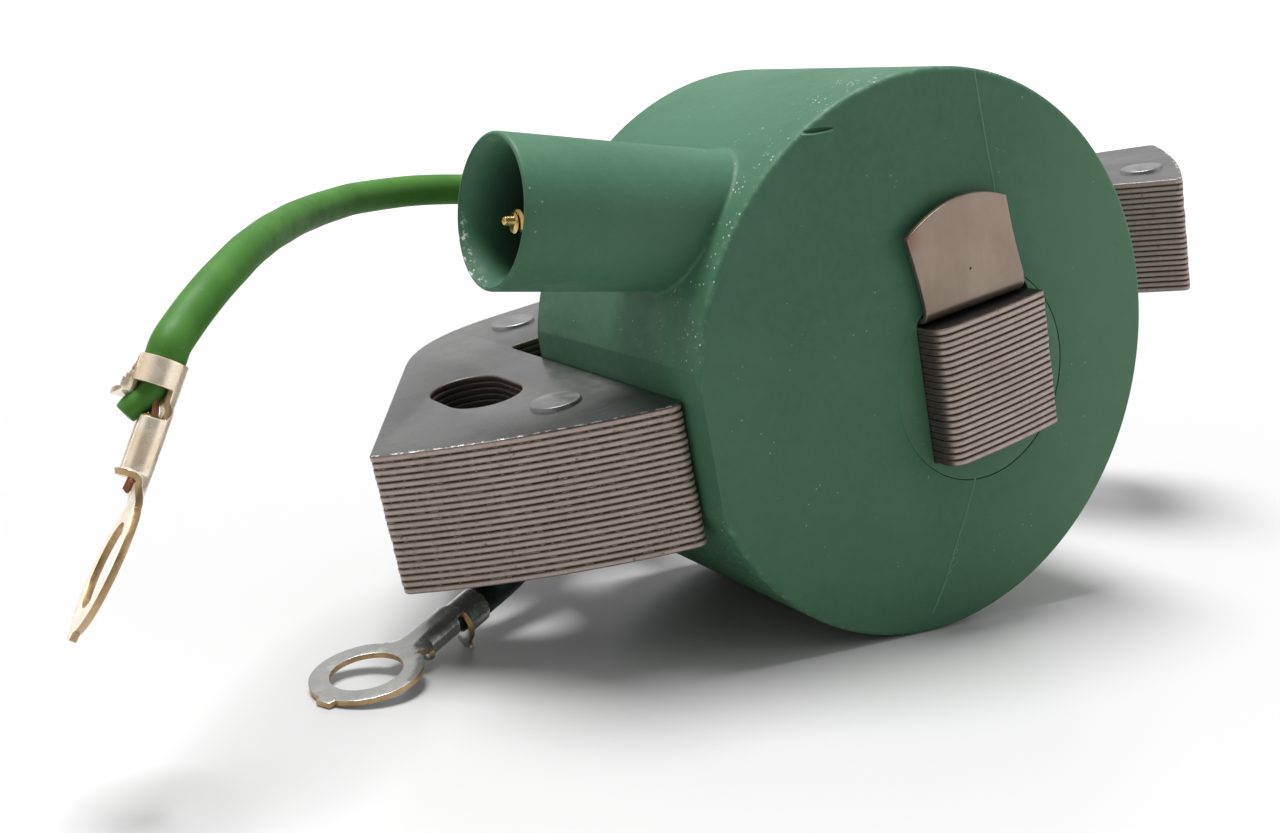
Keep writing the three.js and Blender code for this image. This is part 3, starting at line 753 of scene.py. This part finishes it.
def terminal_sheet(bend):
    """The middle surface of the terminal: a ring with its neck, and barrels rolled from tabs."""
    step, parts, start, row = 0.14, 4, 4.2, 0.2
    columns = int(5.3 / step)
    rows = [start + i * row for i in range(int((COVER_BARREL[1] - start) / row) + 1)]
    marks = sorted({round(r, 3) for r in rows} | {*WIRE_BARREL, *COVER_BARREL, WING_START})
    marks = [m for i, m in enumerate(marks) if i == 0 or m - marks[i - 1] > 0.02]
    work = bmesh.new()

    def section(x, side):
        kinds = crimp_shape(x)
        points, y, z = [(0.0, 0.0)], 0.0, 0.0
        for j in range(columns):
            for k in range(parts):
                s = (j + (k + 0.5) / parts) * step
                turn = sum(share * crimp_turn(kind, s, side) for kind, share in kinds)
                y += math.cos(turn) * step / parts
                z += math.sin(turn) * step / parts
            points.append((y, z))
        return points

    grid, verts = {}, {}
    for i, x in enumerate(marks):
        wings = {side: section(x, side) for side in (-1, 1)}
        for j in range(-columns, columns + 1):
            side = 1 if j > 0 else -1
            y, z = wings[side][abs(j)]
            grid[i, j] = (x, side * y, z)

    def vert(key):
        if key not in verts:
            verts[key] = work.verts.new(bent(grid[key], bend))
        return verts[key]

    for i in range(len(marks) - 1):
        middle = (marks[i] + marks[i + 1]) / 2
        for j in range(-columns, columns):
            width = half_width(middle, 1 if j >= 0 else -1)
            if max(abs(j), abs(j + 1)) * step <= width + step / 2:
                corners = ((i, j), (i + 1, j), (i + 1, j + 1), (i, j + 1))
                work.faces.new([vert(corner) for corner in corners])
    edge = [verts[key] for key in sorted(k for k in verts if k[0] == 0)]

    # The ring, filled between its outline, its hole and the neck's first row.
    outer, hole = 4.75, 3.05
    spread = math.degrees(math.asin(edge[-1].co.y / outer)) + 9
    outline = [p for p in arc(0, 0, outer, spread, 360 - spread, 72)
               if p[0] > 0 or abs(p[1]) >= 0.95]
    middle = next(i for i, p in enumerate(outline) if p[1] < 0)
    outline[middle:middle] = [(-outer + 0.09, 0.8), (-outer - 0.5, 0.74),
                              (-outer - 0.5, -0.7), (-outer + 0.09, -0.8)]
    ring = [work.verts.new((x, y, 0)) for x, y in outline]
    hole_loop = [work.verts.new((x, y, 0)) for x, y in arc(0, 0, hole, 0, 360, 64)[:-1]]
    edges = []
    for points in ([*edge, *ring], hole_loop):
        for a, b in zip(points, points[1:] + points[:1]):
            edges.append(work.edges.get((a, b)) or work.edges.new((a, b)))
    bmesh.ops.triangle_fill(work, use_beauty=True, edges=edges)
    bmesh.ops.recalc_face_normals(work, faces=work.faces)
    mesh = bpy.data.meshes.new("terminal")
    work.to_mesh(mesh)
    work.free()
    return mesh


def make_terminal(name, terminal, looks, plating):
    made = new_object(f"{name}_ring_terminal", terminal_sheet(terminal["bend"]))
    for look in (plating, "cut"):
        made.data.materials.append(looks[look])
    solid = thicken(made, SHEET)
    solid.use_even_offset = False
    solid.material_offset_rim = 1
    bevel(made, 0.07, 2, 55)
    bake(made)
    made.data.transform(terminal_matrix(terminal) @ Matrix.Translation((0, 0, SHEET / 2)))
    smooth(made.data, 40)
    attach(made, "root")
    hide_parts(f"{name}_lead_terminal")
    return made


def make_strands(name, terminal, looks, past):
    """The bared conductor, out of the insulation, through the crimp and to past its front end."""
    bodies = []
    for i in range(16):
        side = 1 if i % 2 else -1
        lane = i // 2
        a = 2 * math.pi * lane / 7
        ring = 0.0 if lane == 7 else 0.15
        end = WIRE_BARREL[0] - past - (0.75 if side > 0 else 0) - 0.3 * random.random()
        y = side * 0.75 + ring * math.cos(a)
        z = 1.05 + ring * math.sin(a)
        line = [
            (COVER_BARREL[1] - 2.0, y * 0.5, COVER_CENTRE + (z - 1) * 0.8),
            (COVER_BARREL[0] - 0.3, y * 0.5, COVER_CENTRE - 0.1 + (z - 1) * 0.8),
            (WIRE_BARREL[1] + 0.1, y, z + 0.1),
            (WIRE_BARREL[1] - 1.2, y, z),
            (WIRE_BARREL[0] + 0.6, y, z),
            (end, y + 0.12 * (random.random() - 0.5), z + 0.1 * (random.random() - 0.3)),
        ]
        points = [bent(p, terminal["bend"]) for p in through(line, 5)]
        bodies.append(tube(points, [STRAND_RADIUS] * len(points), 10))
    made = new_object(f"{name}_strands", joined(bodies), terminal_matrix(terminal))
    return finish_piece(made, [f"{name}_lead_conductor"], "copper", looks["copper"])


def make_cut_end(name, terminal, looks, line, radius):
    """The end of the insulation, between the two crimps."""
    points = [bent(p, terminal["bend"]) for p in through(line, 8)]
    count = len(points)
    radii = [radius * min(1, 0.86 + 0.5 * (count - 1 - i) / count) for i in range(count)]
    made = new_object(f"{name}_insulation_end", tube(points, radii, 28), terminal_matrix(terminal))
    bevel(made, 0.14 * MM, 3, 60)
    bake(made)
    return finish_piece(made, [], f"{name}_pvc", looks[name])


# ---- core ----
def on_pole_circle(y):
    return POLE[0] + math.sqrt(POLE[2] ** 2 - (y - POLE[1]) ** 2)


def pole_arc(low, high, steps):
    """Points between two heights on the pole circle, both ends left out."""
    ends = [math.degrees(math.asin((y - POLE[1]) / POLE[2])) for y in (low, high)]
    return arc(POLE[0], POLE[1], POLE[2], *ends, steps)[1:-1]


def core_outline():
    half = LEG_WIDTH / 2
    return filleted([
        (on_pole_circle(-half), -half, 1.6),
        *pole_arc(-half + 1, half, 8),
        (on_pole_circle(half), half, 0.3),
        (YOKE_FRONT, half, 0.8),
        (YOKE_FRONT, 28, 2),
        (-20.2, 39.8),
        (on_pole_circle(43.5), 43.5, 1),
        *pole_arc(44.5, 56.5, 8),
        (on_pole_circle(57.5), 57.5, 1),
        (-34.8, 52.8),
        (YOKE_BACK, 37.4, 3),
        (YOKE_BACK, -33.3, 9.2),
        (on_pole_circle(-51.3), -51.3, 0.7),
        *pole_arc(-50.6, LEFT_ARM_INSIDE - 1.5, 10),
        (on_pole_circle(LEFT_ARM_INSIDE), LEFT_ARM_INSIDE, 1.8),
        (YOKE_FRONT, LEFT_ARM_INSIDE, 0.8),
        (YOKE_FRONT, -half, 0.8),
    ], 10)


def slot_outline(x, y):
    radius, reach = SLOT_WIDTH / 2, (SLOT_LENGTH - SLOT_WIDTH) / 2
    return arc(x + reach, y, radius, -90, 90, 20) + arc(x - reach, y, radius, 90, 270, 20)


def make_core(looks):
    thickness, edge = 0.59, 0.17
    loops = [core_outline(), *(slot_outline(x, y) for x, y in SLOTS)]
    for i in range(SHEETS):
        low = -STACK / 2 + i * SHEET_PITCH + (SHEET_PITCH - thickness) / 2
        shift = Matrix.Translation([random.uniform(-0.035, 0.035) for _ in range(2)] + [0])
        twist = Matrix.Rotation(math.radians(random.uniform(-0.05, 0.05)), 4, "Z")
        mesh = plate(loops, low, low + thickness, edge)
        mesh.transform(shift @ twist)
        sides = [abs(p.normal.z) < 0.8 for p in mesh.polygons]
        made = new_object(f"lamination_{i + 1:02d}", mesh, ON_LEG)
        finish_piece(made, [f"core_lamination_{i + 1:02d}"], "sheet_steel",
                     looks["face"], looks["edge"], angle=50)
        mesh.polygons.foreach_set("material_index", np.array(sides, np.int32))


def make_rivets(looks):
    face, top = STACK / 2, STACK / 2 + 0.33
    head, shank, edge = 2.25, 1.4, 0.16
    profile = [(-top, 0), (-top, head - edge), *arc(-top + edge, head - edge, edge, 180, 90, 4),
               (-face + 0.03, head + 0.05), (-face + 0.03, shank), (face - 0.03, shank),
               (face - 0.03, head + 0.05), *arc(top - edge, head - edge, edge, 90, 0, 4), (top, 0)]
    for place, (x, y) in RIVETS.items():
        mesh = lathe(profile, 48)
        mesh.transform(Matrix.Translation((x, y, 0)) @ Matrix.Rotation(-math.pi / 2, 4, "Y"))
        made = new_object(f"rivet_{place}", mesh, ON_LEG)
        finish_piece(made, [f"stack_rivet_{place}"], "rivet_steel", looks["rivet"])


# ---- retaining strip ----
def make_strip(looks):
    """The strip on the leg, bent up at its back end and into the crowned tab at its front."""
    thickness, left, right, back, front = 0.5, -6.0, 5.4, -29.7, 0.95
    outer, mid = 1.1, thickness / 2
    low, lean = STACK / 2 + 0.1, math.radians(2.5)
    root = low + 1.7
    steps, columns = 22, 24
    path = [(back + mid, low + 2.5), (back + mid, low + outer)]
    path += arc(back + outer, low + outer, outer - mid, 180, 270, 8)[1:]
    path += [(back + outer + (front - back - 2 * outer) * i / 24, low + mid) for i in range(1, 25)]
    path += arc(front - outer, low + outer, outer - mid, 270, 360, 10)[1:]
    path += [(front - mid, root)]
    corner_left, crown, corner_right = (
        Vector(p) for p in (TAB_CORNER_LEFT, TAB_CROWN, TAB_CORNER_RIGHT))
    verts = [(x, left + (right - left) * j / columns, z) for x, z in path
             for j in range(columns + 1)]
    for i in range(1, steps + 1):
        for j in range(columns + 1):
            t = j / columns
            foot = Vector((left + (right - left) * t, root))
            top = corner_left * (1 - t) ** 2 + crown * 2 * t * (1 - t) + corner_right * t * t
            y, z = foot.lerp(top, i / steps)
            waist = math.sin(math.pi * i / steps) * 0.12
            rise = z - root
            out = math.sin(lean) * rise + 0.35 * (rise / 8) ** 2 * (1 - t) ** 2
            verts.append((front - mid + out, y + waist * (1 - 2 * t), root + rise * math.cos(lean)))
    mesh = mesh_of(verts, quads(len(path) + steps, columns + 1, closed=False))
    made = new_object("retaining_strip_sheet", mesh)
    thicken(made, thickness)
    bevel(made, 0.1, 3, 60)
    bake(made)
    outward(made.data)
    made.data.transform(ON_LEG)
    finish_piece(made, ["retaining_strip"], "strip_steel", looks["strip"], angle=50)


# ---- moulded case and bobbin ----
def drum_profile():
    edge, steps = 0.45, 6
    profile = [(-DRUM_LENGTH, 0), (-DRUM_LENGTH, DRUM_RADIUS * 0.5)]
    profile += arc(-DRUM_LENGTH + edge, DRUM_RADIUS - edge, edge, 180, 90, steps)
    profile += [(-DRUM_LENGTH + edge + (DRUM_LENGTH - 2 * edge) * i / 8, DRUM_RADIUS)
                for i in range(1, 8)]
    profile += arc(-edge, DRUM_RADIUS - edge, edge, 90, 0, steps)
    return profile + [(0, DRUM_RADIUS * 0.5), (0, 0)]


def tower_body():
    """The tower with the fillet that runs from it into the drum's side, in the TOWER frame."""
    segments = 128
    fillet, root_radius, steps, lip = 0.4, 5.95, 8, 0.28

    def drum_height(v):
        return math.sqrt(DRUM_RADIUS ** 2 - (TOWER_FOOT + v) ** 2)

    rings = [(5.0, 4.0, False), (root_radius + fillet, -1.5, True)]
    for k in range(steps + 1):
        a = math.radians(8 + 82 * k / steps)
        rings.append((root_radius + fillet * (1 - math.sin(a)),
                      fillet * (1 - math.cos(a)) - 0.03, True))
    straight = [(27.5, 6.0), (31.0, 6.07), (35.0, 6.14), (39.2, TOWER_RADIUS)]
    rings += [(r, t, False)
              for t, r in straight + arc(MOUTH - lip, TOWER_RADIUS - lip, lip, 90, 0, 4)]
    verts = []
    for radius, height, on_drum in rings:
        for a in turns(segments):
            u, v = radius * math.cos(a), radius * math.sin(a)
            verts.append((height + drum_height(v) if on_drum else height, u, v))
    return loft(verts, segments)


def bore_body():
    """What is cut from the tower: the bore with its sloping lip."""
    lip = [(-2.6, 0), (-1.9, 0.05), (-1.2, 0.19), (-0.7, 0.4), (-0.32, 0.66), (-0.1, 0.86),
           (0.5, 1.1)]
    return lathe([(BORE_FLOOR, 0), (BORE_FLOOR, BORE_RADIUS - 0.3),
                  (BORE_FLOOR + 0.3, BORE_RADIUS - 0.02),
                  *((MOUTH + x, BORE_RADIUS + wider) for x, wider in lip), (MOUTH + 0.5, 0)], 96)


def make_case(looks):
    drum = lathe(drum_profile(), 288)
    drum.transform(Matrix.Rotation(-TILT, 4, "X"))
    made = new_object("moulded_case", drum)
    in_core = CORE.inverted()

    def in_tower(mesh, operation):
        mesh.transform(in_core @ TOWER)
        boolean(made, mesh, operation)

    in_tower(tower_body(), "UNION")
    rear = -DRUM_LENGTH
    for route in (GREEN_ROUTE, BLACK_ROUTE):
        place = in_core @ (LYING @ Vector(route[0]))
        collar = [(rear - 1.2, 0), (rear - 1.2, 2.1), (rear - 1.08, 2.32), (rear - 0.85, 2.45),
                  (rear - 0.35, 2.75), (rear - 0.08, 3.1), (rear + 0.6, 3.3), (rear + 1, 0)]
        boolean(made, lathe(collar, 48, (place.y, place.z)), "UNION")
    y, z = LEG_CENTRE[1:]
    hole = BOBBIN_RADIUS + 0.065
    boolean(made, lathe([(rear - 1, 0), (rear - 1, hole), (1, hole), (1, 0)], 144,
                        (y + 0.05, z - 0.03)))
    boolean(made, lathe([(-25.1, 0), (-25.1, HOLLOW_RADIUS), (-3.2, HOLLOW_RADIUS), (-3.2, 0)], 96,
                        (y, z)))
    in_tower(bore_body(), "DIFFERENCE")
    in_tower(lathe([(3, 0), (3, 0.9), (16, 0.9), (16, 2.5), (BORE_FLOOR + 0.5, 2.5),
                    (BORE_FLOOR + 0.5, 0)], 32), "DIFFERENCE")
    reach = STACK / 2 + 0.12
    boolean(made, block((rear - 1, 1), (-40 + y, LEFT_ARM_INSIDE + 0.1 + y),
                        (z - reach, z + reach + 2.6)))

    # A gouge in the front rim, where something struck it.
    gouge = lathe([(-1.75, 0), (-1.5, 0.1), (-0.9, 0.24), (0, 0.34), (0.9, 0.24), (1.5, 0.1),
                   (1.75, 0)], 24)
    gouge.transform(Matrix.Translation((-0.02, -9.35, 22.36))
                    @ Matrix.Rotation(math.radians(-7), 4, "X")
                    @ Matrix.Rotation(math.pi / 2, 4, "Z") @ Matrix.Scale(0.55, 4, (0, 0, 1)))
    boolean(made, gouge)
    made.data.transform(CORE)
    finish_piece(made, ["coil_case"], "moulded_plastic", looks["case"], angle=28)


def flash_ridge(points, out, width, height):
    """A thin ridge of mould flash along points, standing up along the direction out."""
    verts, last = [], len(points) - 1
    for i, point in enumerate(points):
        along = (points[min(i + 1, last)] - points[max(i - 1, 0)]).normalized()
        side = along.cross(out).normalized()
        top = height * (0.55 + 0.9 * random.random()) * min(1, i / 3, (last - i) / 3)
        for offset, lift in ((-1, -0.05), (-0.25, top), (0.35, top * 0.8), (1, -0.05)):
            verts.append(point + side * width * offset + out * lift)
    return loft(verts, 4)


def along_line(points, spacing):
    """Evenly spaced points along a polyline."""
    line = []
    for a, b in zip(points, points[1:]):
        a, b = Vector(a), Vector(b)
        steps = max(1, round((b - a).length / spacing))
        line += [a.lerp(b, i / steps) for i in range(steps)]
    return line + [Vector(points[-1])]


def make_flash(looks):
    face, out = Vector((1, 0, 0)), Vector((0, 7.75, 23.8)).normalized()
    ridges = [
        ([(0, 7.75, 23.55), (0, 8.0, 19), (0, 8.5, 12.8)], 0.35, face, 0.11, 0.07),
        ([(0, 2.4, -12.0), (0, 0.7, -15), (0, -1.2, -18), (0, -2.6, -20.4), (0, -4.6, -23.0)],
         0.35, face, 0.11, 0.07),
        ([(0, -10.9, 22.3), (0, -9.6, 22.08), (0, -7.7, 21.98)], 0.3, face, 0.1, 0.09),
        *(([(0, y - 0.3, z - 0.12), (0, y + 0.3, z + 0.2)], 0.12, face, 0.14, 0.16)
          for y, z in ((-1.0, -18.1), (-1.5, -18.7), (-1.2, -19.2), (-2.1, -19.8))),
        ([(x, *(out * DRUM_RADIUS)[1:]) for x in (-1, -20)], 0.35, out, 0.13, 0.1),
    ]
    bodies = [flash_ridge(along_line(points, spacing), *rest) for points, spacing, *rest in ridges]
    made = new_object("mould_flash", joined(bodies), CORE)
    finish_piece(made, [], "moulded_plastic", looks["flash"])


def make_bobbin(looks):
    edge, rear, radius = 0.03, -DRUM_LENGTH - 0.6, BOBBIN_RADIUS
    made = new_object("bobbin_body", lathe([
        (rear, 0), (rear, radius - edge), (rear + edge, radius), (-edge, radius),
        (-edge * 0.3, radius - edge * 0.3), (0, radius - edge), (0, 0)], 144))
    half, low, corner, top_corner = LEG_WIDTH / 2 + 0.12, -STACK / 2 - 0.12, 0.5, 1.6
    section = filleted([(-half, low, corner), (half, low, corner), (half, HOLE_TOP, top_corner),
                        (-half, HOLE_TOP, top_corner)], 8)
    square = loft([(x, y, z) for x in (-40, 10) for y, z in section], len(section))
    hole = new_object("square", square)
    boolean(hole, lathe([(-39, 0), (-39, HOLE_RADIUS), (9, HOLE_RADIUS), (9, 0)], 96), "INTERSECT")
    cutter = hole.data
    bpy.data.objects.remove(hole)
    boolean(made, cutter)
    made.data.transform(ON_LEG)
    finish_piece(made, ["bobbin"], "bobbin_plastic", looks["bobbin"], angle=30)


# ---- contact screw ----
def make_contact(looks):
    """A pointed screw, leaning a little in the bore."""
    start, tip = 17.8, 38.7
    core, crest, pitch = 0.68, 0.98, 0.8
    around, per_turn = 36, 14
    shoulder = tip - 0.95
    rows = round((shoulder - start) / pitch * per_turn)
    thread = [(start + (shoulder - start) * i / rows, None) for i in range(rows + 1)]
    nose = [(shoulder + 0.06, 0.5), (shoulder + 0.12, 0.43), (tip - 0.12, 0.36), (tip - 0.03, 0.3),
            (tip, 0.2)]
    verts = []
    for x, fixed in thread + nose:
        for a in turns(around):
            phase = (x / pitch - a / (2 * math.pi)) % 1.0
            ridge = max(0.0, 1 - abs(phase - 0.5) / 0.4)
            radius = fixed or core + (crest - core) * min(ridge * 1.4, 1)
            verts.append((x, radius * math.cos(a), radius * math.sin(a)))
    lean = (Matrix.Translation((start, 0, 0)) @ Matrix.Rotation(math.radians(1.9), 4, "Y")
            @ Matrix.Translation((-start, 0, 0)))
    made = new_object("pointed_contact", loft(verts, around), TOWER @ lean)
    finish_piece(made, ["contact_screw"], "brass", looks["brass"], angle=50)


# ---- stage ----
def make_stage():
    """A pale floor, whiter away from the object: painted light that keeps the far floor white."""
    size = 40
    floor = new_object("floor", mesh_of(
        [(-size, -size, 0), (size, -size, 0), (size, size, 0), (-size, size, 0)], [(0, 1, 2, 3)]))
    look = Look("floor", roughness=0.3, specular=0.4)
    # Painted light: the floor's colour grows paler away from the object.
    far_floor_light = look.span(look.away(look.place_in(LYING)[:2]), 150, 600)
    floor.data.materials.append(look.finish(look.mix(far_floor_light, (0.5, 0.5, 0.5), (0.75, 0.75, 0.75))))


def make_light():
    """A wide soft light from above and behind, and a pale room with a bright strip behind."""
    world = bpy.data.worlds.new("studio")
    bpy.context.scene.world = world
    world.use_nodes = True
    room = Nodes(world.node_tree)
    place = room.node("TexCoord", {}, "Generated")

    def grade(direction, low, high, dim, bright):
        """From dim to bright where the cosine to a direction goes from low to high."""
        inputs = {0: place, 1: Vector(direction).normalized()}
        towards = room.node("VectorMath", inputs, "Value", operation="DOT_PRODUCT")
        return room.span(towards, low, high, dim, bright)

    sky = grade((-0.8, 0.45, 0.4), -0.7, 0.75, 0.12, 0.62)
    low_band, behind = grade((0, 0, 1), 0.06, 0.16, 0.8, 0), grade((-0.84, 0.5, 0), 0.3, 0.7, 0, 1)
    window = grade((0.62, 0.77, 0.12), 0.75, 0.98, 0, 1.0)
    left = grade((0.15, -0.95, 0.2), 0.7, 0.97, 0, 0.5)
    level = room.math("ADD", room.math("ADD", sky, room.times(low_band, behind)),
                      room.math("ADD", window, left))
    # Beyond the floor the camera sees white.
    seen = room.node("LightPath", {}, "Is Camera Ray")
    background = room.tree.nodes["Background"].inputs
    room.put(background["Strength"], room.math("MAXIMUM", level, seen))
    room.put(background["Color"], (1, 1, 1, 1))
    sun = bpy.data.lights.new("key", "SUN")
    sun.energy = 5.1
    sun.angle = math.radians(28)
    key = new_object("key", sun)
    key.rotation_mode = "QUATERNION"
    key.rotation_quaternion = Vector((0.15, 0.05, -0.98)).to_track_quat("-Z", "Y")
    bpy.context.scene.view_settings.view_transform = "Standard"


# ---- assembly ----
make_camera()
LOOKS = make_materials()

# Each lead's route and terminal, how far its strands pass the crimp, its plating, and the end of
# its insulation with its radius.
LEADS = {
    "green": (GREEN_ROUTE, GREEN_TERMINAL, 0.25, "tin", [
        (13.6, 0, 0), (12.3, 0, 0.05), (11.4, 0.1, 0.4), (10.7, 0.25, 0.9),
        (10.0, 0.3, 1.25)], 0.9),
    "black": (BLACK_ROUTE, BLACK_TERMINAL, -1.4, "grey_tin", [
        (13.6, 0, 0), (12.4, 0, 0), (11.4, 0, -0.1), (10.7, 0, -0.2)], 1.08),
}
for lead, (route, ending, past, plating, stub, stub_radius) in LEADS.items():
    stub = [(x, y, COVER_CENTRE + z) for x, y, z in stub]
    pieces = [make_terminal(lead, ending, LOOKS, plating), make_strands(lead, ending, LOOKS, past),
              make_cut_end(lead, ending, LOOKS, stub, stub_radius)]
    make_lead(lead, route, ending, LOOKS)

make_core(LOOKS)
make_rivets(LOOKS)
make_strip(LOOKS)
make_case(LOOKS)
make_flash(LOOKS)
make_bobbin(LOOKS)
make_contact(LOOKS)

CARRIED = {"primary_winding": "copper_turns", "secondary_winding": "fine_turns",
           "layer_insulation": "paper", "winding_wrap": "paper", "epoxy_fill": "resin",
           "ht_insert": "brass", "ht_link": "copper"}
for node, look in CARRIED.items():
    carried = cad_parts[node]
    carried.data.materials.clear()
    carried.data.materials.append(LOOKS[look])

make_stage()
make_light()
